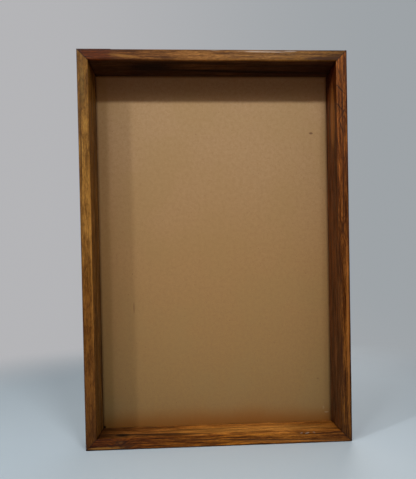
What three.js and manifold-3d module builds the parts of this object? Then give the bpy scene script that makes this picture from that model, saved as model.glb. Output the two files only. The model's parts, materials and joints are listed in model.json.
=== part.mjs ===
// An open-fronted wooden shadow box. Four mitred hardwood rails stand round a deep display recess,
// and a hardboard panel closes the back. The panel lies in a rabbet, where six turn buttons hold
// it, and two D-ring hangers on the side rails carry the box on a wall.
// Millimetres, +Z up, with the open front towards -Y. The origin is on the underside of the bottom
// rail, at the middle of the box's width and depth.

import * as THREE from "three";
import { mergeVertices } from "three/addons/utils/BufferGeometryUtils.js";
import Module from "manifold-3d";

// Box
const FRAME_WIDTH = 319;
const FRAME_HEIGHT = 470;
const RAIL_THICKNESS = 13;
const RECESS_DEPTH = 40; // from the front faces of the rails to the panel
const PANEL_THICKNESS = 3;
const PANEL_INSET = 0.5; // from the rear faces of the rails to the panel's rear face
const RABBET_WIDTH = 5;
const CLEARANCE = 0.3; // between any two pieces that touch on the real box

// Corner nails
const NAIL_LENGTH = 30;
const NAIL_RADIUS = 0.7;
const NAIL_HEAD_RADIUS = 1.1;
const NAIL_HEAD_HEIGHT = 1;
const NAIL_POINT = 2;
const NAIL_SINK = 0.5; // how far a head is punched below the side rail's outer face
const NAIL_EDGE = 11; // from the rail's front face, or from the rabbet, to a nail

// Screws
const SCREW_INSET = 4.2; // from the box's outer faces to every screw on the back
const SCREW_RADIUS = 1.25;
const SCREW_BITE = 9; // the length inside the wood
const SCREW_POINT = 2;
const SCREW_HEAD_RADIUS = 2.5;
const SCREW_HEAD_HEIGHT = 1.5;
const CROSS_LENGTH = 2.8;
const CROSS_WIDTH = 0.7;
const CROSS_DEPTH = 0.8;

// Turn buttons
const BUTTON_THICKNESS = 1.2;
const BUTTON_RADIUS = 3.8;
const BUTTON_REACH = 16; // from the screw to the centre of the round tip
const BUTTON_QUARTER = FRAME_HEIGHT / 4; // side buttons, above and below mid-height

// Hangers
const HANGER_HEIGHT = 300; // above the base
const STRAP_WIDTH = 8;
const STRAP_THICKNESS = 1.6; // two folded layers
const STRAP_TAIL = 3.4; // from the screw to the strap's outer end
const STRAP_CORNER = 2;
const EYE_REACH = 9.8; // from the screw to the ring's straight bar
const EYE_WALL = 0.8;
const RING_WIRE_RADIUS = 1;
const RING_ARC_RADIUS = 7;
const RING_CORNER_RADIUS = 2;
const RING_LEG = 4; // from the bar to the centre of the ring's arc
const RING_STEPS = 44;

// Derived sizes
const FRAME_DEPTH = RECESS_DEPTH + PANEL_THICKNESS + PANEL_INSET;
const REAR = FRAME_DEPTH / 2;
const FRONT = -REAR;
const RABBET_START = FRONT + RECESS_DEPTH - CLEARANCE;
const MITRE_SETBACK = CLEARANCE * Math.SQRT1_2; // half the mitre's gap, measured along the rail
const EYE_HOLE_RADIUS = RING_WIRE_RADIUS + CLEARANCE;
const EYE_RADIUS = EYE_HOLE_RADIUS + EYE_WALL;
const NAIL_DEPTHS = { front: FRONT + NAIL_EDGE, rear: RABBET_START - NAIL_EDGE };
const BEYOND = 5; // how far a cutter reaches past what it cuts
const QUARTER_TURN = Math.PI / 2;
const ROUND_SEGMENTS = 20;
const NAIL_SEGMENTS = 12;
const ARC_SEGMENTS = 6; // per arc, which an outline's arcs double

const COLOURS = {
  top: 0x7a5a36,
  bottom: 0x7a4a20,
  left: 0x80592c,
  right: 0x653a1c,
  hardboard: 0x947351,
  zinc: 0xa9abad,
  screw: 0xb59a5c,
  nail: 0x55524e,
};

const wasm = await Module();
wasm.setup();

// A closed geometry as a solid that can be joined and cut.
function solidOf(geometry) {
  const bare = geometry.clone();
  bare.deleteAttribute("normal");
  bare.deleteAttribute("uv");
  const merged = mergeVertices(bare, 1e-4);
  return new wasm.Manifold(
    new wasm.Mesh({
      numProp: 3,
      vertProperties: new Float32Array(merged.attributes.position.array),
      triVerts: new Uint32Array(merged.index.array),
    }),
  );
}

function geometryOf(solid) {
  const mesh = solid.getMesh();
  const geometry = new THREE.BufferGeometry();
  geometry.setAttribute("position", new THREE.BufferAttribute(mesh.vertProperties, mesh.numProp));
  geometry.setIndex(new THREE.BufferAttribute(mesh.triVerts, 1));
  geometry.computeVertexNormals();
  return geometry;
}

function cut(geometry, cutters) {
  let solid = solidOf(geometry);
  for (const cutter of cutters) {
    solid = solid.subtract(solidOf(cutter));
  }
  return geometryOf(solid);
}

// A solid of revolution about Y from [radius, height] corners, listed from the bottom to the top.
function turned(corners, segments) {
  const profile = corners.map(([radius, height]) => new THREE.Vector2(radius, height));
  return new THREE.LatheGeometry(profile, segments);
}

// A plate of the given outline, which lies in X and Z and is thick along +Y.
function plate(outline, thickness) {
  const settings = { depth: thickness, bevelEnabled: false, curveSegments: ARC_SEGMENTS };
  return new THREE.ExtrudeGeometry(outline, settings).rotateX(-QUARTER_TURN);
}

function piece(name, geometry, colour, roughness, metalness) {
  const material = new THREE.MeshStandardMaterial({ color: colour, roughness, metalness });
  const mesh = new THREE.Mesh(geometry, material);
  mesh.name = name;
  return mesh;
}

const wood = (name, geometry, colour) => piece(name, geometry, colour, 0.45, 0);
const metal = (name, geometry, colour) => piece(name, geometry, colour, 0.35, 0.9);

// A nail lies along +Y, with the top of its head at the origin's height less the sink. Its bore is
// the same shape with the clearance all round, open at the surface.
function nailGeometry() {
  const shoulder = NAIL_SINK + NAIL_HEAD_HEIGHT;
  return turned(
    [
      [0, NAIL_SINK],
      [NAIL_HEAD_RADIUS, NAIL_SINK],
      [NAIL_HEAD_RADIUS, shoulder],
      [NAIL_RADIUS, shoulder],
      [NAIL_RADIUS, NAIL_LENGTH - NAIL_POINT],
      [0, NAIL_LENGTH],
    ],
    NAIL_SEGMENTS,
  );
}

function nailBore() {
  const shoulder = NAIL_SINK + NAIL_HEAD_HEIGHT + CLEARANCE;
  return turned(
    [
      [0, -BEYOND],
      [NAIL_HEAD_RADIUS + CLEARANCE, -BEYOND],
      [NAIL_HEAD_RADIUS + CLEARANCE, shoulder],
      [NAIL_RADIUS + CLEARANCE, shoulder],
      [NAIL_RADIUS + CLEARANCE, NAIL_LENGTH + CLEARANCE],
      [0, NAIL_LENGTH + CLEARANCE],
    ],
    NAIL_SEGMENTS,
  );
}

// A screw points down -Y into the wood. The origin is on the rail's rear face, and the head clears
// a plate of the given thickness.
function screwGeometry(plateThickness) {
  const seat = plateThickness + 2 * CLEARANCE;
  const top = seat + SCREW_HEAD_HEIGHT;
  const body = turned(
    [
      [0, -SCREW_BITE],
      [SCREW_RADIUS, SCREW_POINT - SCREW_BITE],
      [SCREW_RADIUS, seat],
      [SCREW_HEAD_RADIUS, seat],
      [SCREW_HEAD_RADIUS * 0.94, seat + SCREW_HEAD_HEIGHT * 0.45],
      [SCREW_HEAD_RADIUS * 0.72, seat + SCREW_HEAD_HEIGHT * 0.82],
      [SCREW_HEAD_RADIUS * 0.4, top],
      [0, top],
    ],
    ROUND_SEGMENTS,
  );
  const height = CROSS_DEPTH + BEYOND;
  const middle = top - CROSS_DEPTH + height / 2;
  const slots = [
    new THREE.BoxGeometry(CROSS_LENGTH, height, CROSS_WIDTH),
    new THREE.BoxGeometry(CROSS_WIDTH, height, CROSS_LENGTH),
  ];
  for (const slot of slots) {
    slot.translate(0, middle, 0);
  }
  return cut(body, slots);
}

function screwBore() {
  const radius = SCREW_RADIUS + CLEARANCE;
  const depth = SCREW_BITE + CLEARANCE;
  const bore = new THREE.CylinderGeometry(radius, radius, depth + BEYOND, ROUND_SEGMENTS);
  return bore.translate(0, (BEYOND - depth) / 2, 0);
}

// A rail lies along X with its middle at the origin, its outer face down at z = 0 and its rear
// towards +Y. Both ends are mitred. The rabbet runs along the upper rear edge. Nails pass across
// a side rail from its outer face, and along a top or bottom rail from its ends.
function railGeometry(length, nailsAcross, screwPlaces) {
  const outer = length / 2 - MITRE_SETBACK;
  const inner = outer - RAIL_THICKNESS;
  const outline = new THREE.Shape();
  outline.moveTo(-outer, 0);
  outline.lineTo(-inner, -RAIL_THICKNESS);
  outline.lineTo(inner, -RAIL_THICKNESS);
  outline.lineTo(outer, 0);
  outline.closePath();
  const blank = plate(outline, FRAME_DEPTH).translate(0, FRONT, 0);

  const rabbetDepth = REAR - RABBET_START + BEYOND;
  const rabbet = new THREE.BoxGeometry(length, rabbetDepth, RABBET_WIDTH + BEYOND);
  rabbet.translate(0, RABBET_START + rabbetDepth / 2, RAIL_THICKNESS + (BEYOND - RABBET_WIDTH) / 2);
  const cutters = [rabbet];

  for (const side of [-1, 1]) {
    for (const depth of Object.values(NAIL_DEPTHS)) {
      const bore = nailBore();
      if (nailsAcross) {
        bore.rotateX(QUARTER_TURN);
        bore.translate(side * (length / 2 - RAIL_THICKNESS / 2), depth, 0);
      } else {
        bore.rotateZ(side * QUARTER_TURN);
        bore.translate((side * length) / 2, depth, RAIL_THICKNESS / 2);
      }
      cutters.push(bore);
    }
  }
  for (const place of screwPlaces) {
    cutters.push(screwBore().translate(place, REAR, SCREW_INSET));
  }
  return cut(blank, cutters);
}

// A turn button reaches along +X from its screw. The origin is on the rail's rear face.
function buttonGeometry() {
  const outline = new THREE.Shape();
  outline.absarc(0, 0, BUTTON_RADIUS, QUARTER_TURN, 3 * QUARTER_TURN, false);
  outline.absarc(BUTTON_REACH, 0, BUTTON_RADIUS, -QUARTER_TURN, QUARTER_TURN, false);
  outline.closePath();
  const hole = new THREE.Path();
  hole.absarc(0, 0, SCREW_RADIUS + CLEARANCE, 0, 2 * Math.PI, true);
  outline.holes.push(hole);
  return plate(outline, BUTTON_THICKNESS).translate(0, CLEARANCE, 0);
}

// A strap is folded round the ring's bar. It reaches along +X from its screw, with the origin on
// the rail's rear face. The side outline gives the fold, and the plan outline the round corners.
function strapGeometry() {
  const drop = EYE_RADIUS - STRAP_THICKNESS;
  const side = new THREE.Shape();
  side.moveTo(-STRAP_TAIL, 0);
  side.lineTo(EYE_REACH, 0);
  const meets = Math.PI + Math.asin(drop / EYE_RADIUS);
  side.absarc(EYE_REACH, EYE_RADIUS, EYE_RADIUS, -QUARTER_TURN, meets, false);
  side.lineTo(-STRAP_TAIL, STRAP_THICKNESS);
  side.closePath();
  const eye = new THREE.Path();
  eye.absarc(EYE_REACH, EYE_RADIUS, EYE_HOLE_RADIUS, 0, 2 * Math.PI, true);
  side.holes.push(eye);
  const settings = { depth: STRAP_WIDTH, bevelEnabled: false, curveSegments: ARC_SEGMENTS };
  const folded = new THREE.ExtrudeGeometry(side, settings).translate(0, 0, -STRAP_WIDTH / 2);

  const half = STRAP_WIDTH / 2;
  const straight = half - STRAP_CORNER;
  const bend = STRAP_CORNER - STRAP_TAIL;
  const plan = new THREE.Shape();
  plan.moveTo(EYE_REACH + EYE_RADIUS + BEYOND, half);
  plan.lineTo(bend, half);
  plan.absarc(bend, straight, STRAP_CORNER, QUARTER_TURN, 2 * QUARTER_TURN, false);
  plan.absarc(bend, -straight, STRAP_CORNER, 2 * QUARTER_TURN, 3 * QUARTER_TURN, false);
  plan.lineTo(EYE_REACH + EYE_RADIUS + BEYOND, -half);
  plan.closePath();
  const height = 2 * EYE_RADIUS + 2 * BEYOND;
  const column = plate(plan, height).translate(0, -BEYOND, 0);

  const radius = SCREW_RADIUS + CLEARANCE;
  const hole = new THREE.CylinderGeometry(radius, radius, 2 * BEYOND, ROUND_SEGMENTS);
  const strap = solidOf(folded).intersect(solidOf(column)).subtract(solidOf(hole));
  return geometryOf(strap).translate(0, CLEARANCE, 0);
}

// The centre line of a D-ring's wire, in X and Z about the middle of its straight bar. The wire's
// two ends meet inside the strap.
class RingLine extends THREE.Curve {
  constructor() {
    super();
    const bar = RING_ARC_RADIUS - RING_CORNER_RADIUS;
    const corner = RING_CORNER_RADIUS;
    this.line = new THREE.Path();
    this.line.moveTo(0, -CLEARANCE);
    this.line.lineTo(0, -bar);
    this.line.absarc(corner, -bar, corner, 2 * QUARTER_TURN, 3 * QUARTER_TURN, false);
    this.line.absarc(RING_LEG, 0, RING_ARC_RADIUS, -QUARTER_TURN, QUARTER_TURN, false);
    this.line.absarc(corner, bar, corner, QUARTER_TURN, 2 * QUARTER_TURN, false);
    this.line.lineTo(0, CLEARANCE);
  }

  getPoint(share, target = new THREE.Vector3()) {
    const place = this.line.getPoint(share);
    return target.set(place.x, 0, place.y);
  }
}

function ringGeometry() {
  const section = new THREE.Shape();
  section.absarc(0, 0, RING_WIRE_RADIUS, 0, 2 * Math.PI, false);
  return new THREE.ExtrudeGeometry(section, {
    extrudePath: new RingLine(),
    steps: RING_STEPS,
    curveSegments: ARC_SEGMENTS,
    bevelEnabled: false,
  });
}

const box = new THREE.Group();

// Rails. A turned rail keeps its rear towards +Y, and its outer face points out of the box.
const RAILS = [
  { name: "bottom", turn: 0, x: 0, z: 0, screws: [0] },
  { name: "top", turn: 2, x: 0, z: FRAME_HEIGHT, screws: [0] },
  { name: "left", turn: 1, x: -FRAME_WIDTH / 2, z: FRAME_HEIGHT / 2, up: -1 },
  { name: "right", turn: -1, x: FRAME_WIDTH / 2, z: FRAME_HEIGHT / 2, up: 1 },
];
for (const { name, turn, x, z, up, screws } of RAILS) {
  const upright = up !== undefined;
  const hangerPlace = up * (HANGER_HEIGHT - FRAME_HEIGHT / 2);
  const places = screws ?? [-BUTTON_QUARTER, BUTTON_QUARTER, hangerPlace];
  const length = upright ? FRAME_HEIGHT : FRAME_WIDTH;
  const rail = wood(`${name}_rail`, railGeometry(length, upright, places), COLOURS[name]);
  rail.position.set(x, 0, z);
  rail.rotation.y = turn * QUARTER_TURN;
  box.add(rail);
}

// Back panel
const panelWidth = FRAME_WIDTH - 2 * (RAIL_THICKNESS - RABBET_WIDTH + CLEARANCE);
const panelHeight = FRAME_HEIGHT - 2 * (RAIL_THICKNESS - RABBET_WIDTH + CLEARANCE);
const panelShape = new THREE.BoxGeometry(panelWidth, PANEL_THICKNESS, panelHeight);
const panel = piece("back_panel", panelShape, COLOURS.hardboard, 0.6, 0);
panel.position.set(0, REAR - PANEL_INSET - PANEL_THICKNESS / 2, FRAME_HEIGHT / 2);
box.add(panel);

// Corner nails, driven level through the side rails into the ends of the top and bottom rails
const NAIL_LEVELS = { top: FRAME_HEIGHT - RAIL_THICKNESS / 2, bottom: RAIL_THICKNESS / 2 };
for (const [level, z] of Object.entries(NAIL_LEVELS)) {
  for (const [side, out] of [["left", -1], ["right", 1]]) {
    for (const [row, y] of Object.entries(NAIL_DEPTHS)) {
      const nail = metal(`nail_${level}_${side}_${row}`, nailGeometry(), COLOURS.nail);
      nail.position.set((out * FRAME_WIDTH) / 2, y, z);
      nail.rotation.z = out * QUARTER_TURN;
      box.add(nail);
    }
  }
}

// Fastenings on the back. Each is a group on the rail's rear face, turned so that its local +X
// points from the screw towards the middle of the box.
const SCREW_X = FRAME_WIDTH / 2 - SCREW_INSET;
const UPPER_Z = FRAME_HEIGHT / 2 + BUTTON_QUARTER;
const LOWER_Z = FRAME_HEIGHT / 2 - BUTTON_QUARTER;
function fastening(x, z, turn) {
  const group = new THREE.Group();
  group.position.set(x, REAR, z);
  group.rotation.y = turn * QUARTER_TURN;
  box.add(group);
  return group;
}

const BUTTONS = [
  { name: "top", x: 0, z: FRAME_HEIGHT - SCREW_INSET, turn: 1 },
  { name: "bottom", x: 0, z: SCREW_INSET, turn: -1 },
  { name: "left_upper", x: -SCREW_X, z: UPPER_Z, turn: 0 },
  { name: "left_lower", x: -SCREW_X, z: LOWER_Z, turn: 0 },
  { name: "right_upper", x: SCREW_X, z: UPPER_Z, turn: 2 },
  { name: "right_lower", x: SCREW_X, z: LOWER_Z, turn: 2 },
];
for (const { name, x, z, turn } of BUTTONS) {
  fastening(x, z, turn).add(
    metal(`button_${name}`, buttonGeometry(), COLOURS.zinc),
    metal(`button_screw_${name}`, screwGeometry(BUTTON_THICKNESS), COLOURS.screw),
  );
}

const HANGERS = [
  { name: "left", x: -SCREW_X, turn: 0 },
  { name: "right", x: SCREW_X, turn: 2 },
];
for (const { name, x, turn } of HANGERS) {
  const ring = metal(`hanger_ring_${name}`, ringGeometry(), COLOURS.zinc);
  ring.position.set(EYE_REACH, CLEARANCE + EYE_RADIUS, 0);
  fastening(x, HANGER_HEIGHT, turn).add(
    metal(`hanger_strap_${name}`, strapGeometry(), COLOURS.zinc),
    metal(`hanger_screw_${name}`, screwGeometry(STRAP_THICKNESS), COLOURS.screw),
    ring,
  );
}

export default box;
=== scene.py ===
import json
import math

import bmesh
import bpy
from mathutils import Matrix, Vector, noise


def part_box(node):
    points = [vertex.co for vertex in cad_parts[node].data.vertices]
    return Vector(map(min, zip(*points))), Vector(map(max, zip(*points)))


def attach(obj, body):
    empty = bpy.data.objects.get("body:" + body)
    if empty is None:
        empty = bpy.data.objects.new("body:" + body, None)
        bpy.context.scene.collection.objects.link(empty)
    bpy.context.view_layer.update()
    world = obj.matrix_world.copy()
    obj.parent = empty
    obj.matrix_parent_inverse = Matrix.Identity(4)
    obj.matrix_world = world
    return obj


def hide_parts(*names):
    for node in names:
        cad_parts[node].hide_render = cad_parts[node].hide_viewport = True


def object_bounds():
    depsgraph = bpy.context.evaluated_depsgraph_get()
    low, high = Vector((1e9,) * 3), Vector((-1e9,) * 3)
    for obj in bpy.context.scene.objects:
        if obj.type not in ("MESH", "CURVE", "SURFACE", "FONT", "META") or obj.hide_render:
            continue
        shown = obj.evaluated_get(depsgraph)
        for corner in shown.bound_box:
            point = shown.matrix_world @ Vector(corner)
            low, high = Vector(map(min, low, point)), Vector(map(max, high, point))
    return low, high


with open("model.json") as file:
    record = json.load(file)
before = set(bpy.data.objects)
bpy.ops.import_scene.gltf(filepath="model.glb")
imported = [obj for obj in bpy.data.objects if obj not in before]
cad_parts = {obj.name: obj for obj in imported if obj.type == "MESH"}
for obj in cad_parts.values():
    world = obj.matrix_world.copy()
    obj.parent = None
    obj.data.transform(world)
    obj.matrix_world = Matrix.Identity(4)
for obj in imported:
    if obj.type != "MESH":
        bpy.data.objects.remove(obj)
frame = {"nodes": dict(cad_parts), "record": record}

MM = 0.001
cad_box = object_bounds()

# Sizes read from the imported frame, in metres
rail_lo, rail_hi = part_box("left_rail")
panel_lo, panel_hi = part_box("back_panel")
WIDTH = cad_box[1].x - cad_box[0].x
HEIGHT = cad_box[1].z - cad_box[0].z
FRONT = rail_lo.y
REAR = rail_hi.y
THICKNESS = rail_hi.x - rail_lo.x
CLEARANCE = 0.3 * MM
RABBET_FLOOR = panel_lo.x - rail_lo.x - CLEARANCE
RABBET_START = panel_lo.y - CLEARANCE


# ---------------------------------------------------------------- node helper

class Nodes:
    """The node tree of a material or world. Each method adds one step and returns the socket
    it gives."""

    def __init__(self, owner):
        owner.use_nodes = True
        self.owner = owner
        self.tree = owner.node_tree
        self.tree.nodes.clear()

    def add(self, kind, **settings):
        node = self.tree.nodes.new(kind)
        for key, value in settings.items():
            setattr(node, key, value)
        return node

    def feed(self, socket, value):
        if isinstance(value, bpy.types.NodeSocket):
            self.tree.links.new(value, socket)
        elif isinstance(value, tuple) and socket.type == "RGBA":
            socket.default_value = (*value, 1.0)
        elif value is not None:
            socket.default_value = value

    def feed_all(self, node, values):
        for socket, value in zip(node.inputs, values):
            self.feed(socket, value)

    def math(self, operation, *values):
        node = self.add("ShaderNodeMath", operation=operation)
        self.feed_all(node, values)
        return node.outputs[0]

    def vector(self, operation, *values):
        node = self.add("ShaderNodeVectorMath", operation=operation)
        self.feed_all(node, values)
        return node.outputs["Value" if operation == "LENGTH" else "Vector"]

    def place(self, attribute=None):
        """A point of the piece in millimetres, from an attribute or from its own axes."""
        if attribute:
            source = self.add("ShaderNodeAttribute", attribute_name=attribute).outputs["Vector"]
        else:
            source = self.add("ShaderNodeTexCoord").outputs["Object"]
        return self.vector("MULTIPLY", source, (1000.0, 1000.0, 1000.0))

    def split(self, vector):
        node = self.add("ShaderNodeSeparateXYZ")
        self.feed(node.inputs[0], vector)
        return node.outputs

    def join(self, *parts):
        node = self.add("ShaderNodeCombineXYZ")
        self.feed_all(node, parts)
        return node.outputs[0]

    def noise(self, place, scale, detail=2.0, roughness=0.5):
        node = self.add("ShaderNodeTexNoise", noise_dimensions="3D")
        self.feed(node.inputs["Vector"], self.vector("MULTIPLY", place, scale))
        node.inputs["Scale"].default_value = 1.0
        node.inputs["Detail"].default_value = detail
        node.inputs["Roughness"].default_value = roughness
        return node.outputs["Fac"]

    def cells(self, place, scale):
        node = self.add("ShaderNodeTexVoronoi", feature="F1")
        self.feed(node.inputs["Vector"], self.vector("MULTIPLY", place, scale))
        node.inputs["Scale"].default_value = 1.0
        return node.outputs["Distance"]

    def span(self, value, low, high, to_low=0.0, to_high=1.0):
        node = self.add("ShaderNodeMapRange", interpolation_type="SMOOTHSTEP")
        self.feed_all(node, (value, low, high, to_low, to_high))
        return node.outputs["Result"]

    def ramp(self, value, stops):
        node = self.add("ShaderNodeValToRGB")
        elements = node.color_ramp.elements
        while len(elements) < len(stops):
            elements.new(0.5)
        for element, (position, colour) in zip(elements, stops):
            element.position = position
            element.color = (*colour, 1.0)
        self.feed(node.inputs[0], value)
        return node.outputs["Color"]

    def mix(self, factor, first, second, blend="MIX"):
        node = self.add("ShaderNodeMix", data_type="RGBA", blend_type=blend)
        self.feed(node.inputs[0], factor)
        self.feed(node.inputs[6], first)
        self.feed(node.inputs[7], second)
        return node.outputs[2]

    def bump(self, height, strength, distance):
        node = self.add("ShaderNodeBump")
        node.inputs["Strength"].default_value = strength
        node.inputs["Distance"].default_value = distance
        self.feed(node.inputs["Height"], height)
        return node.outputs[0]

    def surface(self, colour, roughness, normal, **constants):
        shader = self.add("ShaderNodeBsdfPrincipled")
        self.feed(shader.inputs["Base Color"], colour)
        self.feed(shader.inputs["Roughness"], roughness)
        self.feed(shader.inputs["Normal"], normal)
        for name, value in constants.items():
            shader.inputs[name.replace("_", " ")].default_value = value
        output = self.add("ShaderNodeOutputMaterial")
        self.tree.links.new(shader.outputs[0], output.inputs["Surface"])
        return self.owner


# ---------------------------------------------------------------- materials

NEAR_BLACK = (0.004, 0.002, 0.0015)
BLACKENED = (0.012, 0.006, 0.004)
UMBER = (0.045, 0.017, 0.007)
AMBER = (0.50, 0.24, 0.05)
ORANGE = (0.42, 0.15, 0.03)
SCUFF_AND_GLINT = (0.55, 0.47, 0.38)


def add_marks(n, colour, place, marks):
    """Knots, mineral streaks, cracks and worn spots, and some painted highlights and shade. A mark
    is a soft ellipsoid in the wood: its centre and its reach (along, deep, thick), how far it
    climbs in depth and in thickness for each millimetre along, its colour and its strength."""
    wobble = n.noise(place, (0.12, 0.7, 0.7), 3.0, 0.6)
    for centre, reach, climb, tone, strength in marks:
        offset = n.vector("SUBTRACT", place, centre)
        along = n.split(offset)[0]
        slope = (0.0, -climb[0], -climb[1])
        sheared = n.vector("MULTIPLY_ADD", n.join(along, along, along), slope, offset)
        distance = n.vector("LENGTH", n.vector("DIVIDE", sheared, reach))
        distance = n.math("MULTIPLY_ADD", wobble, 1.4, distance)
        weight = n.span(distance, 1.4, 2.4, strength, 0.0)
        colour = n.mix(weight, colour, tone)
    return colour


def add_edges(n, colour, length, along, deep, thick, wobble, corner_shade):
    """Darker front arris, dark mitre joints, and painted shade where the inner wall meets the panel.
    """
    uneven = n.math("MULTIPLY_ADD", wobble, 1.6, -0.8)
    outer = n.span(n.math("ADD", n.math("ADD", thick, deep), uneven), 0.7, 2.2, 0.7, 0.0)
    first = n.math("ABSOLUTE", n.math("SUBTRACT", along, thick))
    last = n.math("ABSOLUTE", n.math("SUBTRACT", n.math("SUBTRACT", length, along), thick))
    mitre = n.span(n.math("MINIMUM", first, last), 0.3, 1.3, 0.8, 0.0)
    # Painted shade on the inner wall where it meets the panel.
    near_panel = n.span(n.math("ADD", deep, uneven), 34.0, 39.5, 0.0, corner_shade)
    corner = n.math("MULTIPLY", near_panel, n.span(thick, 10.0, 12.0))
    for weight in (outer, mitre, corner):
        colour = n.mix(weight, colour, n.mix(1.0, colour, (0.25, 0.2, 0.18), "MULTIPLY"))
    return colour


def oiled_wood(name, seed, length, face, wall, heart, drift, spacing, waver, figure, grain, corner_shade,
               knots=(), marks=()):
    """Old oiled hardwood, cut from near the heart. The grain attribute gives a point of a rail:
    along it, deep from its front face, and thick inwards from its outer face. face holds the
    tones along the rail on its front and outside. wall holds those on its inner wall, which take
    in some of the shade there. heart is the centre of the growth rings (deep, thick), drift is
    how it moves for each millimetre along, and each knot (along, deep, thick, reach, push) swells
    the rings around it."""
    n = Nodes(bpy.data.materials.new(name))
    place = n.place("grain")
    along, deep, thick = n.split(place)
    sample = n.vector("ADD", place, (seed * 131.0, seed * 57.0, seed * 23.0))

    share = n.math("DIVIDE", along, length)
    inside = n.math("MULTIPLY", n.span(deep, 0.8, 3.5), n.span(thick, 7.0, 11.5))
    base = n.mix(inside, n.ramp(share, face), n.ramp(share, wall))

    heart_deep = n.math("MULTIPLY_ADD", along, drift[0], heart[0])
    heart_thick = n.math("MULTIPLY_ADD", along, drift[1], heart[1])
    heart = n.join(0.0, heart_deep, heart_thick)
    from_heart = n.vector("SUBTRACT", n.join(0.0, deep, thick), heart)
    radius = n.vector("LENGTH", from_heart)
    sway = n.noise(sample, (0.012, 0.04, 0.04), 3.0, 0.55)
    ripple = n.noise(sample, (0.07, 0.22, 0.22), 3.0, 0.6)
    radius = n.math("MULTIPLY_ADD", sway, waver * 2.0, radius)
    radius = n.math("MULTIPLY_ADD", ripple, waver * 0.4, radius)
    for *centre, reach, push in knots:
        gap = n.vector("LENGTH", n.vector("SUBTRACT", place, tuple(centre)))
        radius = n.math("MULTIPLY_ADD", n.span(gap, 0.0, reach, push, 0.0), 1.0, radius)
    rings = n.math("DIVIDE", radius, spacing)
    phase = n.math("FRACT", rings)
    weight = n.noise(n.join(n.math("FLOOR", rings), seed, 0.0), (0.73, 1.0, 1.0), 0.0)
    growth = n.ramp(phase, [
        (0.0, (0.42, 0.34, 0.28)),
        (0.1, (0.9, 0.86, 0.82)),
        (0.4, (1.22, 1.24, 1.26)),
        (0.7, (1.0, 0.98, 0.95)),
        (0.92, (0.62, 0.54, 0.48)),
        (1.0, (0.42, 0.34, 0.28)),
    ])
    strength = n.math("MULTIPLY", n.span(weight, 0.3, 0.65, 0.35, 1.0), figure)
    colour = n.mix(strength, base, n.mix(1.0, base, growth, "MULTIPLY"))

    patches = n.noise(sample, (0.018, 0.1, 0.1), 3.0, 0.6)
    patch_tone = n.ramp(patches, [
        (0.36, (1.45, 1.45, 1.4)),
        (0.5, (1.0, 1.0, 1.0)),
        (0.64, (0.5, 0.44, 0.4)),
    ])
    colour = n.mix(n.math("MULTIPLY_ADD", inside, 0.6, 0.15), colour, patch_tone, "MULTIPLY")
    streaks = n.noise(sample, (0.024, 0.42, 0.42), 4.0, 0.7)
    streak_tone = n.ramp(streaks, [
        (0.32, (1.5, 1.55, 1.55)),
        (0.46, (1.08, 1.08, 1.06)),
        (0.56, (0.74, 0.68, 0.62)),
        (0.68, (0.4, 0.33, 0.27)),
    ])
    colour = n.mix(grain, colour, streak_tone, "MULTIPLY")
    lines = n.noise(sample, (0.02, 0.62, 0.62), 5.0, 0.72)
    line_tone = n.ramp(lines, [
        (0.37, (1.45, 1.5, 1.5)),
        (0.48, (1.08, 1.08, 1.08)),
        (0.535, (0.8, 0.76, 0.72)),
        (0.585, (0.34, 0.27, 0.22)),
    ])
    colour = n.mix(grain, colour, line_tone, "MULTIPLY")
    flecks = n.noise(sample, (0.16, 0.9, 0.9), 4.0, 0.75)
    fleck_tone = n.ramp(flecks, [
        (0.36, (1.4, 1.42, 1.42)),
        (0.5, (1.0, 1.0, 1.0)),
        (0.64, (0.5, 0.43, 0.38)),
    ])
    colour = n.mix(0.7, colour, fleck_tone, "MULTIPLY")
    fibres = n.noise(sample, (0.25, 4.2, 4.2), 3.0, 0.7)
    fibre_tone = n.ramp(fibres, [(0.3, (1.2, 1.2, 1.2)), (0.7, (0.75, 0.7, 0.66))])
    colour = n.mix(0.7, colour, fibre_tone, "MULTIPLY")
    pores = n.span(n.noise(sample, (0.14, 3.1, 3.1), 1.0, 0.4), 0.62, 0.72)
    colour = n.mix(n.math("MULTIPLY", pores, 0.6), colour, UMBER)
    colour = add_marks(n, colour, place, marks)
    colour = add_edges(n, colour, length, along, deep, thick, flecks, corner_shade)

    relief = n.math("MULTIPLY_ADD", pores, -0.7, fibres)
    wear = n.noise(sample, (0.05, 0.3, 0.3), 3.0)
    roughness = n.span(wear, 0.3, 0.7, 0.36, 0.55)
    normal = n.bump(relief, 0.4, 0.00012)
    return n.surface(
        colour, roughness, normal, Specular_IOR_Level=0.09, Coat_Weight=0.04, Coat_Roughness=0.2,
    )


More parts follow.
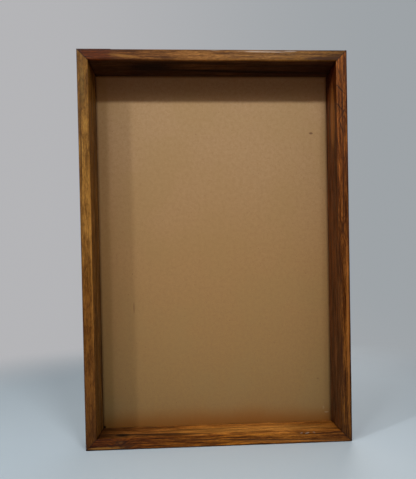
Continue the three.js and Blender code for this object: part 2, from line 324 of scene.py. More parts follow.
def hardboard(name):
    """Smooth brown hardboard, with cloudy tone, fibre specks and a few spots, darker and redder
    towards its foot in the recess. It is lighter towards the top partly as painted light. In the
    recess it is also painted darker below the top rail and in a stripe at the left, in place of part
    of the shadow there, and its edges are painted darker as shade where they meet the rails. That
    shade stays whatever the light is."""
    n = Nodes(bpy.data.materials.new(name))
    place = n.place("grain")
    across, deep, up = n.split(place)
    clouds = n.noise(place, (0.014, 0.014, 0.014), 3.0, 0.5)
    lower = n.math("MULTIPLY_ADD", clouds, -60.0, up)
    height = n.span(lower, 0.0, 400.0)
    # Lighter and bluer towards the top: partly the board's own tone, partly painted light that falls
    # off down the panel.
    colour = n.ramp(height, [
        (0.0, (0.375, 0.218, 0.078)),
        (0.5, (0.4, 0.247, 0.104)),
        (1.0, (0.425, 0.285, 0.146)),
    ])
    mottle = n.noise(place, (0.22, 0.22, 0.22), 4.0, 0.65)
    colour = n.mix(n.span(mottle, 0.35, 0.7, 0.0, 0.4), colour, (0.31, 0.18, 0.078))
    fibres = n.noise(place, (1.5, 1.5, 1.5), 3.0, 0.7)
    colour = n.mix(n.span(fibres, 0.42, 0.72, 0.0, 0.45), colour, (0.25, 0.14, 0.06))
    specks = n.span(n.cells(place, (0.11, 0.11, 0.11)), 0.03, 0.07, 0.5, 0.0)
    colour = n.mix(specks, colour, (0.12, 0.06, 0.028))
    colour = n.mix(n.span(clouds, 0.38, 0.62, 0.0, 0.28), colour, (0.345, 0.23, 0.093))
    in_recess = n.span(deep, PANEL_FACE + 0.5, PANEL_FACE + 1.0, 1.0, 0.0)
    # Darker and redder towards the foot, in the recess only.
    darker_foot = n.span(n.math("MULTIPLY_ADD", clouds, 12.0, up), 18.0, 46.0, 0.85, 0.0)
    colour = n.mix(n.math("MULTIPLY", darker_foot, in_recess), colour, (0.3, 0.112, 0.019))
    from_side = n.math("SUBTRACT", (WIDTH / 2 - THICKNESS) / MM, n.math("ABSOLUTE", across))
    from_head = n.math("SUBTRACT", (HEIGHT - THICKNESS) / MM, up)
    inset = n.math("MINIMUM", from_side, from_head)
    # Painted shadow below the top rail and in a stripe along the left edge, in the recess only.
    darkened = n.math("MULTIPLY", n.span(from_head, 4.0, 36.0, 0.35, 0.0), in_recess)
    colour = n.mix(darkened, colour, (0.08, 0.03, 0.016))
    from_left = n.math("ADD", across, (WIDTH / 2 - THICKNESS) / MM)
    painted_left_shadow = n.math("MULTIPLY", n.span(from_left, 11.0, 16.0, 0.22, 0.0), in_recess)
    colour = n.mix(painted_left_shadow, colour, (0.22, 0.14, 0.035))
    # Painted shade along the panel's sides and head, where it meets the rails.
    painted_edge_shade = n.span(n.math("MULTIPLY_ADD", mottle, 2.0, inset), 0.8, 4.0, 0.7, 0.0)
    colour = n.mix(painted_edge_shade, colour, (0.09, 0.04, 0.015))
    for centre, reach, tone, strength in PANEL_MARKS:
        offset = n.vector("DIVIDE", n.vector("SUBTRACT", place, centre), reach)
        near = n.math("MULTIPLY_ADD", mottle, 0.8, n.vector("LENGTH", offset))
        colour = n.mix(n.span(near, 0.9, 1.5, strength, 0.0), colour, tone)
    roughness = n.span(mottle, 0.3, 0.7, 0.45, 0.6)
    normal = n.bump(fibres, 0.15, 0.00008)
    return n.surface(colour, roughness, normal, Specular_IOR_Level=0.12)


def plated_metal(name, colour, tarnished, roughness):
    """Thin plating over stamped steel, with fine scuffs and a little tarnish."""
    n = Nodes(bpy.data.materials.new(name))
    place = n.place()
    scuffs = n.noise(place, (3.0, 0.6, 0.6), 4.0, 0.7)
    tarnish = n.noise(place, (0.35, 0.35, 0.35), 3.0, 0.6)
    shade = n.mix(n.span(tarnish, 0.4, 0.75, 0.0, 0.7), colour, tarnished)
    rough = n.span(scuffs, 0.25, 0.75, roughness * 0.75, roughness * 1.5)
    normal = n.bump(scuffs, 0.15, 0.00005)
    return n.surface(shade, rough, normal, Metallic=1.0)


# Panel marks: centre (across, deep, up) and reach in millimetres, tone and strength
PANEL_FACE = panel_lo.y / MM
PANEL_MARKS = [
    ((126.0, PANEL_FACE, 385.0), (3.0, 4.0, 1.6), (0.14, 0.072, 0.036), 0.85),
    ((-105.0, PANEL_FACE, 165.0), (1.2, 4.0, 8.0), (0.14, 0.07, 0.03), 0.45),
    ((130.0, PANEL_FACE, 68.0), (2.0, 4.0, 1.2), (0.16, 0.08, 0.035), 0.4),
    ((141.0, PANEL_FACE, 24.0), (3.4, 4.0, 1.1), (0.55, 0.4, 0.24), 0.4),
    ((137.0, PANEL_FACE, 30.0), (1.4, 4.0, 2.6), (0.5, 0.36, 0.2), 0.35),
    # A near-black spot in the bottom left corner is painted shade, standing in for the dark gap
    # there.
    ((-146.0, PANEL_FACE, 14.0), (3.0, 4.0, 2.4), (0.005, 0.003, 0.002), 0.95),
    ((-106.0, PANEL_FACE, 208.0), (0.9, 4.0, 0.9), (0.14, 0.07, 0.03), 0.5),
    ((-112.0, PANEL_FACE, 182.0), (0.9, 4.0, 0.9), (0.14, 0.07, 0.03), 0.4),
    ((-22.0, PANEL_FACE, 384.0), (0.8, 4.0, 1.2), (0.2, 0.1, 0.045), 0.5),
]

# A rail's tones are (share of its length, linear colour). They are earlier values scaled by the
# ratio of the real box's measured colours to a render's, and rounded, so they hold some of its
# shading as well as its own colour.
TOP_WOOD = oiled_wood(
    "oiled_wood_top", seed=1.0, length=WIDTH / MM,
    face=[
        (0.0, (0.106, 0.024, 0.0015)),
        (0.118, (0.106, 0.024, 0.0015)),
        (0.128, (0.12, 0.043, 0.009)),
        (0.42, (0.245, 0.112, 0.029)),
        (0.78, (0.228, 0.11, 0.022)),
        (1.0, (0.135, 0.058, 0.0095)),
    ],
    wall=[
        (0.0, (0.038, 0.0165, 0.0062)),
        (0.5, (0.05, 0.0205, 0.0062)),
        (1.0, (0.034, 0.0125, 0.0064)),
    ],
    heart=(14.0, -16.0), drift=(0.02, 0.02), spacing=3.2, waver=8.0, figure=0.7, grain=0.6, corner_shade=0.7,
    knots=[(83.0, 20.0, 13.0, 26.0, 6.0)],
    marks=[
        ((296.0, 0.0, 10.4), (24.0, 5.0, 1.6), (0.0, -0.03), UMBER, 0.85),
        # The pale marks along the top arris are partly worn finish and partly painted highlight,
        # where the lamps glint on the oiled edge.
        ((218.0, 0.0, 3.1), (20.0, 3.0, 0.6), (0.0, 0.01), SCUFF_AND_GLINT, 0.5),
        ((250.0, 0.0, 2.6), (6.0, 3.0, 0.6), (0.0, 0.0), SCUFF_AND_GLINT, 0.4),
        ((160.0, 0.0, 1.0), (7.0, 3.0, 0.7), (0.0, 0.0), SCUFF_AND_GLINT, 0.35),
        ((55.0, 0.0, 8.5), (14.0, 3.0, 1.4), (0.0, 0.1), AMBER, 0.3),
        ((98.0, 0.0, 9.5), (14.0, 3.0, 1.6), (0.0, 0.05), UMBER, 0.5),
        # The near-black marks on the inner wall follow a knot and dark lines in the wood, and are
        # partly painted shade under the rail.
        ((83.0, 18.0, 13.0), (20.0, 8.0, 4.0), (0.0, 0.0), NEAR_BLACK, 0.85),
        ((208.0, 27.0, 13.0), (112.0, 3.2, 4.0), (0.035, 0.0), NEAR_BLACK, 0.9),
        ((150.0, 8.0, 13.0), (60.0, 1.8, 4.0), (0.01, 0.0), NEAR_BLACK, 0.6),
        ((248.0, 14.0, 13.0), (60.0, 1.8, 4.0), (-0.02, 0.0), NEAR_BLACK, 0.6),
    ],
)
BOTTOM_WOOD = oiled_wood(
    "oiled_wood_bottom", seed=2.0, length=WIDTH / MM,
    face=[
        (0.0, (0.105, 0.024, 0.002)),
        (0.25, (0.172, 0.05, 0.005)),
        (0.5, (0.37, 0.126, 0.0115)),
        (0.75, (0.32, 0.112, 0.014)),
        (1.0, (0.112, 0.033, 0.004)),
    ],
    wall=[
        (0.0, (0.055, 0.02, 0.006)),
        (0.22, (0.24, 0.089, 0.018)),
        (0.42, (0.41, 0.16, 0.028)),
        (0.75, (0.46, 0.187, 0.036)),
        (1.0, (0.29, 0.103, 0.014)),
    ],
    heart=(4.0, -9.0), drift=(0.02, 0.035), spacing=2.6, waver=5.0, figure=1.0, grain=0.9, corner_shade=0.1,
    knots=[(40.0, 0.0, 5.0, 20.0, 6.0)],
    marks=[
        ((41.0, 0.0, 8.8), (2.0, 4.0, 0.9), (0.0, 0.3), AMBER, 0.2),
        ((38.0, 0.0, 3.2), (1.5, 4.0, 0.8), (0.0, 0.0), AMBER, 0.2),
        ((35.0, 0.0, 7.0), (2.5, 4.0, 1.0), (0.0, 1.4), UMBER, 0.7),
        ((40.0, 0.0, 5.0), (2.6, 4.0, 1.6), (0.0, -0.8), BLACKENED, 0.6),
        ((45.0, 0.0, 7.5), (2.8, 4.0, 1.5), (0.0, 0.7), BLACKENED, 0.6),
        ((48.0, 0.0, 3.8), (3.0, 4.0, 0.8), (0.0, 0.5), UMBER, 0.8),
        ((42.0, 0.0, 6.0), (7.0, 4.0, 4.5), (0.0, -0.2), UMBER, 0.45),
        ((22.0, 0.0, 2.5), (16.0, 4.0, 1.2), (0.0, 0.0), AMBER, 0.4),
        ((215.0, 0.0, 6.0), (90.0, 5.0, 0.55), (0.0, -0.04), UMBER, 0.7),
        ((255.0, 0.0, 3.0), (55.0, 5.0, 0.9), (0.0, -0.03), ORANGE, 0.55),
        ((257.0, 0.0, 12.5), (1.4, 1.2, 0.5), (0.0, 0.3), SCUFF_AND_GLINT, 0.3),
        ((264.0, 0.0, 12.3), (2.0, 1.2, 0.5), (0.0, 0.2), SCUFF_AND_GLINT, 0.35),
        ((272.0, 0.0, 12.6), (1.2, 1.2, 0.5), (0.0, -0.3), SCUFF_AND_GLINT, 0.25),
        ((29.0, 0.0, 4.5), (3.0, 4.0, 1.0), (0.0, -0.2), UMBER, 0.8),
        ((53.0, 0.0, 4.0), (4.0, 4.0, 0.8), (0.0, 0.25), UMBER, 0.8),
        ((76.0, 11.0, 13.0), (52.0, 2.6, 3.0), (-0.05, 0.0), UMBER, 0.95),
        ((41.0, 12.0, 13.0), (7.0, 3.8, 3.0), (0.0, 0.0), BLACKENED, 1.0),
        ((76.0, 35.0, 13.0), (10.0, 1.8, 3.0), (-0.3, 0.0), UMBER, 0.6),
        ((101.0, 33.0, 13.0), (7.0, 2.2, 3.0), (-0.4, 0.0), UMBER, 0.6),
        ((200.0, 18.0, 13.0), (80.0, 8.0, 4.0), (0.0, 0.0), AMBER, 0.3),
    ],
)
LEFT_WOOD = oiled_wood(
    "oiled_wood_left", seed=3.0, length=HEIGHT / MM,
    face=[
        (0.0, (0.175, 0.079, 0.0105)),
        (0.15, (0.25, 0.128, 0.0255)),
        (0.45, (0.32, 0.16, 0.033)),
        (0.56, (0.195, 0.084, 0.0157)),
        (0.85, (0.18, 0.067, 0.0102)),
        (1.0, (0.1, 0.033, 0.0045)),
    ],
    wall=[(0.0, (0.17, 0.074, 0.0115)), (0.5, (0.195, 0.086, 0.017)), (1.0, (0.2, 0.092, 0.021))],
    heart=(60.0, 6.0), drift=(-0.05, 0.01), spacing=4.6, waver=11.0, figure=0.7, grain=0.45, corner_shade=0.8,
    knots=[(310.0, 12.0, 13.0, 24.0, 8.0)],
    marks=[
        ((130.0, 0.0, 3.0), (55.0, 4.0, 0.7), (0.0, -0.012), UMBER, 0.6),
        ((40.0, 0.0, 6.0), (20.0, 4.0, 2.0), (0.0, 0.0), (0.10, 0.07, 0.02), 0.4),
        # The pale line along the front inner arris is partly worn edge and partly painted highlight.
        ((240.0, 0.0, 12.0), (90.0, 2.0, 0.5), (0.0, 0.0), AMBER, 0.5),
        ((98.0, 29.0, 13.0), (48.0, 1.8, 3.0), (-0.2, 0.0), UMBER, 0.6),
        ((208.0, 19.5, 13.0), (85.0, 1.8, 3.0), (-0.03, 0.0), UMBER, 0.6),
        ((358.0, 35.0, 13.0), (55.0, 2.2, 3.0), (0.0, 0.0), UMBER, 0.55),
        ((305.0, 10.0, 13.0), (4.0, 4.0, 3.0), (0.0, 0.0), UMBER, 0.6),
        ((321.0, 14.0, 13.0), (7.0, 6.0, 3.0), (0.0, 0.0), UMBER, 0.45),
    ],
)
RIGHT_WOOD = oiled_wood(
    "oiled_wood_right", seed=4.0, length=HEIGHT / MM,
    face=[
        (0.0, (0.205, 0.065, 0.0085)),
        (0.3, (0.195, 0.064, 0.0124)),
        (0.45, (0.158, 0.056, 0.0122)),
        (0.75, (0.213, 0.076, 0.012)),
        (0.92, (0.15, 0.052, 0.006)),
        (1.0, (0.095, 0.031, 0.004)),
    ],
    wall=[
        (0.0, (0.05, 0.007, 0.001)),
        (0.12, (0.085, 0.02, 0.0035)),
        (0.5, (0.112, 0.034, 0.0082)),
        (1.0, (0.109, 0.042, 0.0149)),
    ],
    heart=(-6.0, 4.0), drift=(0.02, 0.018), spacing=2.3, waver=6.0, figure=1.0, grain=0.95, corner_shade=0.5,
    knots=[(55.0, 0.0, 8.0, 30.0, 7.0), (212.0, 0.0, 8.0, 22.0, 5.0)],
    marks=[
        ((46.0, 0.0, 9.0), (5.0, 4.0, 1.0), (0.0, -0.9), BLACKENED, 0.8),
        ((68.0, 0.0, 9.5), (4.0, 4.0, 0.8), (0.0, -0.8), BLACKENED, 0.7),
        ((76.0, 0.0, 6.5), (5.0, 4.0, 0.8), (0.0, 0.5), UMBER, 0.8),
        ((92.0, 0.0, 8.0), (8.0, 4.0, 0.8), (0.0, -0.3), UMBER, 0.8),
        ((30.0, 0.0, 9.0), (8.0, 4.0, 0.6), (0.0, -0.3), UMBER, 0.7),
        ((130.0, 0.0, 6.4), (80.0, 4.0, 0.8), (0.0, 0.006), UMBER, 0.8),
        ((212.0, 0.0, 8.6), (7.0, 4.0, 1.6), (0.0, 0.0), UMBER, 0.7),
        ((145.0, 0.0, 1.5), (22.0, 4.0, 2.0), (0.0, 0.0), UMBER, 0.6),
        ((345.0, 0.0, 3.4), (95.0, 4.0, 1.1), (0.0, 0.0), ORANGE, 0.5),
        ((335.0, 0.0, 11.6), (95.0, 4.0, 1.6), (0.0, 0.0), UMBER, 0.55),
        ((83.0, 27.5, 13.0), (62.0, 2.0, 3.0), (0.04, 0.0), UMBER, 0.6),
        ((75.0, 16.0, 13.0), (30.0, 6.0, 3.0), (0.0, 0.0), ORANGE, 0.4),
        ((323.0, 25.0, 13.0), (75.0, 1.8, 3.0), (-0.02, 0.0), UMBER, 0.5),
        ((432.0, 25.0, 13.0), (7.0, 5.0, 3.0), (0.0, 0.0), UMBER, 0.7),
    ],
)


# ---------------------------------------------------------------- pieces

def new_piece(name, mesh, node, body, material, sharp=35):
    """Puts a mesh, made in the frame's own axes, into the scene in place of its CAD node."""
    piece = bpy.data.objects.new(name, mesh)
    bpy.context.scene.collection.objects.link(piece)
    edit = bmesh.new()
    edit.from_mesh(mesh)
    bmesh.ops.recalc_face_normals(edit, faces=edit.faces)
    for face in edit.faces:
        face.smooth = True
    for edge in edit.edges:
        edge.smooth = edge.calc_face_angle(0.0) < math.radians(sharp)
    edit.to_mesh(mesh)
    edit.free()
    mesh.materials.append(material)
    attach(piece, body)
    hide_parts(node)
    return piece


def set_grain(mesh, coordinates):
    """Keeps each vertex's place in the material, which the shaders read."""
    attribute = mesh.attributes.new("grain", "FLOAT_VECTOR", "POINT")
    values = [value for vertex in mesh.vertices for value in coordinates(vertex.co)]
    attribute.data.foreach_set("vector", values)


# ---------------------------------------------------------------- rails

def rounded_corner(before, corner, after, radius, steps=4):
    """Points of an arc that rounds a right-angled corner of an outline."""
    corner, before, after = Vector(corner), Vector(before), Vector(after)
    start = corner + (before - corner).normalized() * radius
    end = corner + (after - corner).normalized() * radius
    centre = start + end - corner
    points = []
    for i in range(steps + 1):
        share = i / steps * math.pi / 2
        points.append(centre + (start - centre) * math.cos(share) + (end - centre) * math.sin(share))
    return points


def rail_section():
    """The rail's section as (deep, thick) points, with eased arrises and the rear rabbet."""
    corners = [
        ((FRONT, 0.0), 1.3),
        ((REAR, 0.0), 0.8),
        ((REAR, RABBET_FLOOR), 0.3),
        ((RABBET_START, RABBET_FLOOR), 0.0),
        ((RABBET_START, THICKNESS), 0.15),
        ((FRONT, THICKNESS), 0.9),
    ]
    outline = []
    for i, (corner, radius) in enumerate(corners):
        before, after = corners[i - 1][0], corners[(i + 1) % len(corners)][0]
        if radius:
            outline += rounded_corner(before, corner, after, radius * MM)
        else:
            outline.append(Vector(corner))
    dense = []
    for i, point in enumerate(outline):
        following = outline[(i + 1) % len(outline)]
        pieces = max(1, round((following - point).length / (1.6 * MM)))
        dense += [point.lerp(following, k / pieces) for k in range(pieces)]
    return dense


def station_shares(length):
    """Places along a rail from -1 to 1: every 2 mm, and closer near the mitres."""
    near_end = [0.3 * k for k in range(14)]
    regular = [4.2 + 2.0 * k for k in range(int((length / MM / 2 - 4.2) / 2.0) + 1)]
    half = [1.0 - 2 * d * MM / length for d in near_end + regular]
    half = [s for s in half if s > 0.003]
    return [-s for s in half] + [0.0] + half[::-1]


def rail(node, material, turn, origin, length, corner_radii, seed, drop=None, nails=()):
    """One mitred rail, built along X with its outer face at z = 0, then turned into place.
    corner_radii are the worn outer corners at its start and end, and drop gives how far the
    outer face lies inside the nominal size at a place along the rail."""
    section = rail_section()
    shares = station_shares(length)
    mitre_gap = 0.08 * MM
    points = []
    for share in shares:
        for deep, thick in section:
            x = share * (length / 2 - thick - mitre_gap)
            swell = noise.noise(Vector((x * 14.0 + seed * 9.1, deep * 55.0, thick * 55.0)))
            swell += 0.5 * noise.noise(Vector((x * 60.0 + seed * 5.3, deep * 120.0, thick * 120.0)))
            inward = Vector((0, -deep, THICKNESS / 2 - thick)).normalized()
            point = Vector((x, deep, thick)) + inward * abs(swell) * 0.12 * MM
            outside = 1.0 - thick / THICKNESS
            if drop:
                point.z += drop(x) * outside
            radius = corner_radii[0 if x < 0 else 1] * MM
            past = abs(x) - (length / 2 - radius)
            if radius and past > 0:
                point.z = max(point.z, radius - math.sqrt(max(0.0, radius ** 2 - past ** 2)))
            points.append(point)
    count = len(section)
    faces = [tuple(range(count))]
    for s in range(len(shares) - 1):
        for i in range(count):
            j = (i + 1) % count
            faces.append((s * count + i, s * count + j, (s + 1) * count + j, (s + 1) * count + i))
    faces.append(tuple((len(shares) - 1) * count + i for i in reversed(range(count))))
    mesh = bpy.data.meshes.new(node + "_wood")
    mesh.from_pydata(points, [], faces)
    mesh.transform(Matrix.Translation(origin) @ Matrix.Rotation(turn * math.pi / 2, 4, "Y"))
    piece = new_piece(node + "_wood", mesh, node, "box", material)
    for nail in nails:
        sink_nail(piece, nail)
    set_grain(piece.data, GRAIN_AXES[node])
    return piece


NAIL_POCKET = 1.1 * MM


def sink_nail(piece, nail):
    """Cuts the small round pocket in which a nail's head lies below the wood."""
    low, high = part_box(nail)
    centre = (low + high) / 2
    outward = 1 if centre.x > 0 else -1
    centre.x = outward * WIDTH / 2
    edit = bmesh.new()
    sideways = Matrix.Translation(centre) @ Matrix.Rotation(math.pi / 2, 4, "Y")
    radius = (high.z - low.z) / 2 + CLEARANCE
    bmesh.ops.create_cone(
        edit, cap_ends=True, segments=20, radius1=radius, radius2=radius,
        depth=2 * NAIL_POCKET, matrix=sideways,
    )
    mesh = bpy.data.meshes.new("pocket")
    edit.to_mesh(mesh)
    edit.free()
    cutter = bpy.data.objects.new("pocket", mesh)
    bpy.context.scene.collection.objects.link(cutter)
    cut = piece.modifiers.new("pocket", "BOOLEAN")
    cut.operation = "DIFFERENCE"
    cut.object = cutter
    cut.solver = "EXACT"
    bpy.context.view_layer.update()
    graph = bpy.context.evaluated_depsgraph_get()
    result = bpy.data.meshes.new_from_object(piece.evaluated_get(graph))
    piece.modifiers.remove(cut)
    old = piece.data
    piece.data = result
    bpy.data.meshes.remove(old)
    bpy.data.objects.remove(cutter)
    bpy.data.meshes.remove(mesh)


GRAIN_AXES = {
    "top_rail": lambda p: (p.x + WIDTH / 2, p.y - FRONT, HEIGHT - p.z),
    "bottom_rail": lambda p: (p.x + WIDTH / 2, p.y - FRONT, p.z),
    "left_rail": lambda p: (HEIGHT - p.z, p.y - FRONT, p.x + WIDTH / 2),
    "right_rail": lambda p: (HEIGHT - p.z, p.y - FRONT, WIDTH / 2 - p.x),
}


def top_rail_drop(x):
    """The top rail's left end stands a little proud of the rest."""
    step = WIDTH / 2 - 39.0 * MM
    rise = min(1.0, max(0.0, (step + 0.6 * MM - x) / (1.2 * MM)))
    return 0.4 * MM * rise


middle = HEIGHT / 2
rail(
    "top_rail", TOP_WOOD, 2, Vector((0, 0, HEIGHT)), WIDTH, (2.2, 0.6), 1.0,
    drop=top_rail_drop,
)
rail("bottom_rail", BOTTOM_WOOD, 0, Vector((0, 0, 0)), WIDTH, (0.8, 1.8), 2.0)
rail(
    "left_rail", LEFT_WOOD, 1, Vector((-WIDTH / 2, 0, middle)), HEIGHT, (0.6, 0.8), 3.0,
    nails=[f"nail_{end}_left_{side}" for end in ("top", "bottom") for side in ("front", "rear")],
)
rail(
    "right_rail", RIGHT_WOOD, -1, Vector((WIDTH / 2, 0, middle)), HEIGHT, (1.8, 2.2), 4.0,
    nails=[f"nail_{end}_right_{side}" for end in ("top", "bottom") for side in ("front", "rear")],
)


# ---------------------------------------------------------------- back panel

def back_panel():
    """The hardboard sheet, very slightly wavy, with eased edges."""
    size = panel_hi - panel_lo
    edit = bmesh.new()
    bmesh.ops.create_cube(edit, size=1.0)
    bmesh.ops.scale(edit, vec=size, verts=edit.verts)
    bmesh.ops.translate(edit, vec=(panel_lo + panel_hi) / 2, verts=edit.verts)
    bmesh.ops.bevel(edit, geom=edit.edges[:], offset=0.3 * MM, segments=2, affect="EDGES")
    for axis, cuts in ((0, 60), (2, 90)):
        for k in range(1, cuts):
            at = panel_lo.copy()
            at[axis] += size[axis] * k / cuts
            normal = Vector((0, 0, 0))
            normal[axis] = 1
            parts = edit.verts[:] + edit.edges[:] + edit.faces[:]
            bmesh.ops.bisect_plane(edit, geom=parts, plane_co=at, plane_no=normal)
    mesh = bpy.data.meshes.new("hardboard_panel")
    edit.to_mesh(mesh)
    edit.free()
    for vertex in mesh.vertices:
        wave = noise.noise(Vector((vertex.co.x * 11.0, 3.7, vertex.co.z * 11.0)))
        front = vertex.co.y < (panel_lo.y + panel_hi.y) / 2
        vertex.co.y += abs(wave) * 0.18 * MM * (1 if front else -1)
    set_grain(mesh, lambda p: p)
    new_piece("hardboard_panel", mesh, "back_panel", "box", hardboard("smooth_hardboard"))


back_panel()


# ---------------------------------------------------------------- hardware

ZINC = plated_metal("zinc_plate", (0.62, 0.63, 0.64), (0.38, 0.38, 0.37), 0.3)
YELLOW_ZINC = plated_metal("yellow_zinc_plate", (0.66, 0.52, 0.27), (0.42, 0.3, 0.14), 0.3)
DULL_STEEL = plated_metal("dull_steel", (0.3, 0.29, 0.28), (0.16, 0.12, 0.09), 0.45)


def loops_to_mesh(name, loops, closed=False):
    """Skins a run of equal rings of points, capped at both ends or joined into a closed band."""
    count = len(loops[0])
    points = [point for loop in loops for point in loop]
    faces = []
    for k in range(len(loops) if closed else len(loops) - 1):
        here, there = k * count, (k + 1) % len(loops) * count
        for i in range(count):
            j = (i + 1) % count
            faces.append((here + i, here + j, there + j, there + i))
    if not closed:
        faces.append(tuple(range(count)))
        faces.append(tuple((len(loops) - 1) * count + i for i in range(count)))
    mesh = bpy.data.meshes.new(name)
    mesh.from_pydata(points, [], faces)
    return mesh


SCREW_HEAD_HEIGHT = 1.5 * MM
SCREW_SHANK_RADIUS = 1.25 * MM
BUTTON_HOLE_RADIUS = 1.55 * MM


def screw(node, turned):
    """A pan-head screw with a cross recess. It stands along Y with its head at the back."""
    low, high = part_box(node)
    centre = (low + high) / 2
    head = (high.x - low.x) / 2
    crown = high.y
    seat = crown - SCREW_HEAD_HEIGHT
    arm_length, arm_half, recess = 1.35 * MM, 0.35 * MM, 0.8 * MM
    recess_rim = seat + 0.8 * MM
    segments = 48
    # (radius, level) from the middle of the crown, over the head's edge, to the point
    outline = [(0.02 * MM, crown)]
    for k in range(1, 13):
        share = k / 12 * 0.92
        outline.append((share * head, crown - 0.5 * MM * share ** 3))
    outline += [
        (0.99 * head, crown - 0.75 * MM),
        (head, seat + 0.35 * MM),
        (0.95 * head, seat),
        (SCREW_SHANK_RADIUS, seat),
        (SCREW_SHANK_RADIUS, low.y + 2.0 * MM),
        (0.1 * MM, low.y),
    ]
    loops = []
    for radius, level in outline:
        loop = []
        for i in range(segments):
            angle = i / segments * math.tau + turned
            x, z = radius * math.cos(angle), radius * math.sin(angle)
            u, v = radius * math.cos(angle - turned), radius * math.sin(angle - turned)
            narrow, wide = sorted((abs(u), abs(v)))
            in_cross = level > recess_rim and narrow < arm_half and wide < arm_length
            sunk = recess if in_cross else 0.0
            loop.append((centre.x + x, level - sunk, centre.z + z))
        loops.append(loop)
    mesh = loops_to_mesh(node + "_metal", loops)
    new_piece(node + "_metal", mesh, node, "box", YELLOW_ZINC)


def turn_button(node):
    """A stamped oval tab with softly rounded edges and a round hole near its outer end."""
    low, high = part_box(node)
    end = min(high.x - low.x, high.z - low.z) / 2
    middle_x, middle_z = (low.x + high.x) / 2, (low.z + high.z) / 2
    if high.z - low.z > high.x - low.x:
        outward = Vector((0, 0, math.copysign(1, middle_z - HEIGHT / 2)))
    else:
        outward = Vector((math.copysign(1, middle_x), 0, 0))
    sideways = Vector((outward.z, 0, -outward.x))
    span = max(high.x - low.x, high.z - low.z)
    pivot = Vector((middle_x, 0, middle_z)) + outward * (span / 2 - end)
    reach = span - 2 * end
    hole = BUTTON_HOLE_RADIUS
    soft = 0.25 * MM

    def tab(level, inset):
        """The tab's outline at one level, drawn in from its edge by the inset."""
        loop = []
        for k in range(24):
            angle = -math.pi / 2 + k / 23 * math.pi
            way = outward * math.cos(angle) + sideways * math.sin(angle)
            loop.append(pivot + way * (end - inset))
        for k in range(1, 12):
            loop.append(pivot - outward * reach * k / 12 + sideways * (end - inset))
        for k in range(24):
            angle = math.pi / 2 + k / 23 * math.pi
            tip = pivot - outward * reach
            way = outward * math.cos(angle) + sideways * math.sin(angle)
            loop.append(tip + way * (end - inset))
        for k in range(1, 12):
            loop.append(pivot - outward * reach * (1 - k / 12) - sideways * (end - inset))
        return [Vector((p.x, level, p.z)) for p in loop]

    def bore(level, radius):
        """A round ring about the pivot, with a point for each point of the outline."""
        loop = []
        for p in tab(level, 0.0):
            away = Vector((p.x - pivot.x, 0, p.z - pivot.z)).normalized()
            loop.append(Vector((pivot.x, level, pivot.z)) + away * radius)
        return loop

    loops = [
        bore(low.y + soft, hole),
        bore(low.y, hole + soft * 0.6),
        tab(low.y, soft),
        tab(low.y + soft, 0.0),
        tab(high.y - soft, 0.0),
        tab(high.y - soft * 0.3, soft * 0.3),
        tab(high.y, soft),
        bore(high.y, hole + soft * 0.6),
        bore(high.y - soft, hole),
    ]
    mesh = loops_to_mesh(node + "_metal", loops, closed=True)
    new_piece(node + "_metal", mesh, node, "turn_" + node, ZINC, sharp=15)


def hanging_ring(side):
    """A D-shaped ring of round wire, whose cut ends meet inside the strap's eye."""
    node = "hanger_ring_" + side
    low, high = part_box(node)
    inward = 1 if low.x < 0 else -1
    wire = (high.y - low.y) / 2
    bar = (low.x if inward > 0 else high.x) + inward * wire
    centre_y, centre_z = (low.y + high.y) / 2, (low.z + high.z) / 2
    half = (high.z - low.z) / 2 - wire
    bend, setback = 2.0 * MM, 4.0 * MM

    def arc(x, z, radius, start, stop, steps):
        turns = [start + (stop - start) * k / steps for k in range(steps + 1)]
        return [(x + radius * math.cos(a), z + radius * math.sin(a)) for a in turns]

    path = [(0.0, CLEARANCE)] + [(0.0, (half - bend) * k / 4) for k in range(1, 4)]
    path += arc(bend, half - bend, bend, math.pi, math.pi / 2, 6)
    path += arc(setback, 0.0, half, math.pi / 2, -math.pi / 2, 28)
    path += arc(bend, bend - half, bend, -math.pi / 2, -math.pi, 6)
    path += [(0.0, (bend - half) * k / 4) for k in range(3, 0, -1)] + [(0.0, -CLEARANCE)]
    loops = []
    for k, (x, z) in enumerate(path):
        x0, z0 = path[max(0, k - 1)]
        x1, z1 = path[min(len(path) - 1, k + 1)]
        along = Vector((x1 - x0, 0, z1 - z0)).normalized()
        across = Vector((along.z, 0, -along.x))
        loop = []
        for i in range(14):
            angle = i / 14 * math.tau
            round_wire = across * math.cos(angle) + Vector((0, math.sin(angle), 0))
            p = Vector((x, 0, z)) + round_wire * wire
            loop.append((bar + inward * p.x, centre_y + p.y, centre_z + p.z))
        loops.append(loop)
    mesh = loops_to_mesh(node + "_metal", loops)
    new_piece(node + "_metal", mesh, node, "ring_" + side, ZINC)


BUTTONS = ("top", "bottom", "left_upper", "left_lower", "right_upper", "right_lower")
for k, place in enumerate(BUTTONS):
    turn_button("button_" + place)
    screw("button_screw_" + place, turned=0.35 + 0.53 * k)
for k, side in enumerate(("left", "right")):
    hanging_ring(side)
    screw("hanger_screw_" + side, turned=0.2 + 0.9 * k)

# The straps and nails keep their solids. The straps' cut edges are softened.
for part in frame["record"]["subparts"]:
    node = part["node"]
    solid = frame["nodes"][node]
    if node.startswith("hanger_strap"):
        solid.data.materials.clear()
        solid.data.materials.append(ZINC)
        edge = solid.modifiers.new("soft_edges", "BEVEL")
        edge.width = 0.15 * MM
        edge.segments = 2
    elif node.startswith("nail_"):
        solid.data.materials.clear()
        solid.data.materials.append(DULL_STEEL)


# ---------------------------------------------------------------- studio

WALL_LEFT = (0.46, 0.46, 0.475)
WALL_RIGHT = (0.34, 0.365, 0.385)
AMBIENT = (0.04, 0.042, 0.045)


def backdrop_tone(n, sideways):
    """The pale backdrop is a little darker on the right, away from the main light."""
    return n.mix(n.span(sideways, -0.35, 0.45), WALL_LEFT, WALL_RIGHT)


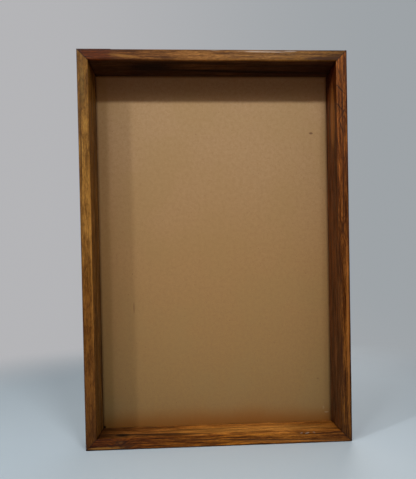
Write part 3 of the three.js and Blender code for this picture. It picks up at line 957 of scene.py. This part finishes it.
def studio_floor():
    """A plain pale floor, which blends into the backdrop well away from the box."""
    bpy.ops.mesh.primitive_plane_add(size=12.0, location=(0, 0, -0.0003))
    floor = bpy.context.object
    floor.name = "studio_floor"
    n = Nodes(bpy.data.materials.new("pale_floor"))
    place = n.add("ShaderNodeTexCoord").outputs["Object"]
    cloud = n.noise(place, (3.0, 3.0, 3.0), 3.0)
    colour = n.mix(n.span(cloud, 0.3, 0.7), (0.60, 0.70, 0.77), (0.62, 0.72, 0.79))
    n.surface(colour, 0.55, None)
    shader = n.tree.nodes["Principled BSDF"]
    x, y, z = n.split(place)
    sideways = n.math("DIVIDE", x, n.math("ADD", n.math("ABSOLUTE", y), 1.0))
    glow = n.add("ShaderNodeEmission")
    n.feed(glow.inputs["Color"], backdrop_tone(n, sideways))
    n.feed(glow.inputs["Strength"], n.add("ShaderNodeLightPath").outputs["Is Camera Ray"])
    blend = n.add("ShaderNodeMixShader")
    n.feed(blend.inputs[0], n.span(n.vector("LENGTH", place), 0.42, 0.9))
    n.tree.links.new(shader.outputs[0], blend.inputs[1])
    n.tree.links.new(glow.outputs[0], blend.inputs[2])
    n.tree.links.new(blend.outputs[0], n.tree.nodes["Material Output"].inputs["Surface"])
    floor.data.materials.append(n.owner)


def studio_world():
    """The backdrop that the camera sees, and a much dimmer ambient light."""
    world = bpy.data.worlds.new("studio")
    bpy.context.scene.world = world
    n = Nodes(world)
    direction = n.split(n.add("ShaderNodeTexCoord").outputs["Generated"])
    seen = n.add("ShaderNodeBackground")
    n.feed(seen.inputs["Color"], backdrop_tone(n, direction[0]))
    lighting = n.add("ShaderNodeBackground")
    lighting.inputs["Color"].default_value = (*AMBIENT, 1.0)
    blend = n.add("ShaderNodeMixShader")
    output = n.add("ShaderNodeOutputWorld")
    n.tree.links.new(n.add("ShaderNodeLightPath").outputs["Is Camera Ray"], blend.inputs[0])
    n.tree.links.new(lighting.outputs[0], blend.inputs[1])
    n.tree.links.new(seen.outputs[0], blend.inputs[2])
    n.tree.links.new(blend.outputs[0], output.inputs["Surface"])


def area_light(name, place, target, length, height, power, colour=(1.0, 1.0, 1.0), spread=180):
    """A soft rectangular lamp, turned towards its target."""
    data = bpy.data.lights.new(name, "AREA")
    data.shape = "RECTANGLE"
    data.size = length
    data.size_y = height
    data.energy = power
    data.color = colour
    data.spread = math.radians(spread)
    lamp = bpy.data.objects.new(name, data)
    lamp.location = place
    lamp.rotation_euler = (Vector(target) - Vector(place)).to_track_quat("-Z", "Y").to_euler()
    bpy.context.scene.collection.objects.link(lamp)


studio_floor()
studio_world()

# One line of ceiling tubes hangs above and in front of the box. The slope to it sets where the
# top rail's shadow ends on the panel, and its brightest stretches set the side rails' shadows.
# The powers started from a fit to the panel's measured shading and were then adjusted.
LINE_AWAY = 0.70
LINE_SLOPE = 0.82
line_y = FRONT - LINE_AWAY
line_z = HEIGHT - THICKNESS + LINE_AWAY * LINE_SLOPE
for label, x, length, power in (
    ("tube_far_left", -0.90, 0.09, 4.4),
    ("tube_left_end", -1.60, 1.00, 5.8),
    ("tube_left", -0.39, 0.14, 1.7),
    ("tube_left_rest", -0.60, 0.30, 1.2),
    ("tube_right", 0.24, 0.22, 3.7),
    ("tube_right_end", 1.00, 0.80, 1.7),
):
    area_light(label, (x, line_y, line_z), (x * 0.3, FRONT, middle), length, 0.05, power)
area_light("rear_fill", (0.45, 1.7, 0.75), (0, REAR, middle), 1.4, 1.0, 9.0)
area_light("right_fill", (1.7, 0.5, 0.6), (0, REAR, middle), 1.0, 1.0, 2.8)
area_light("left_fill", (-1.7, 0.5, 0.6), (0, REAR, middle), 1.0, 1.0, 2.6)
# A weak orange lamp low in front of the box, hidden from the camera, stands in for light that
# comes back from whatever lay there.
area_light("warm_bounce", (0, -0.40, 0.004), (0, 0, HEIGHT), 0.28, 0.12, 0.3, (1.0, 0.42, 0.14), 95)
bpy.data.objects["warm_bounce"].visible_camera = False


# ---------------------------------------------------------------- camera

CAMERA_STAND = Vector((-0.062, -1.049, 0.418)) * HEIGHT + Vector((0, FRONT, 0))
CAMERA_YAW = math.radians(-2.57)
CAMERA_PITCH = math.radians(-0.86)
CAMERA_ROLL = math.radians(-1.12)
camera_data = bpy.data.cameras.new("camera")
camera_data.sensor_width = 36.0
camera_data.lens = 31.3
camera_data.shift_x = -0.0085
camera_data.shift_y = 0.101
camera_data.clip_start = 0.01
camera = bpy.data.objects.new("camera", camera_data)
aimed = Matrix.Rotation(CAMERA_YAW, 4, "Z") @ Matrix.Rotation(math.pi / 2 + CAMERA_PITCH, 4, "X")
camera.matrix_world = Matrix.Translation(CAMERA_STAND) @ aimed @ Matrix.Rotation(CAMERA_ROLL, 4, "Z")
bpy.context.scene.collection.objects.link(camera)
bpy.context.scene.camera = camera
bpy.context.scene.view_settings.view_transform = "Standard"
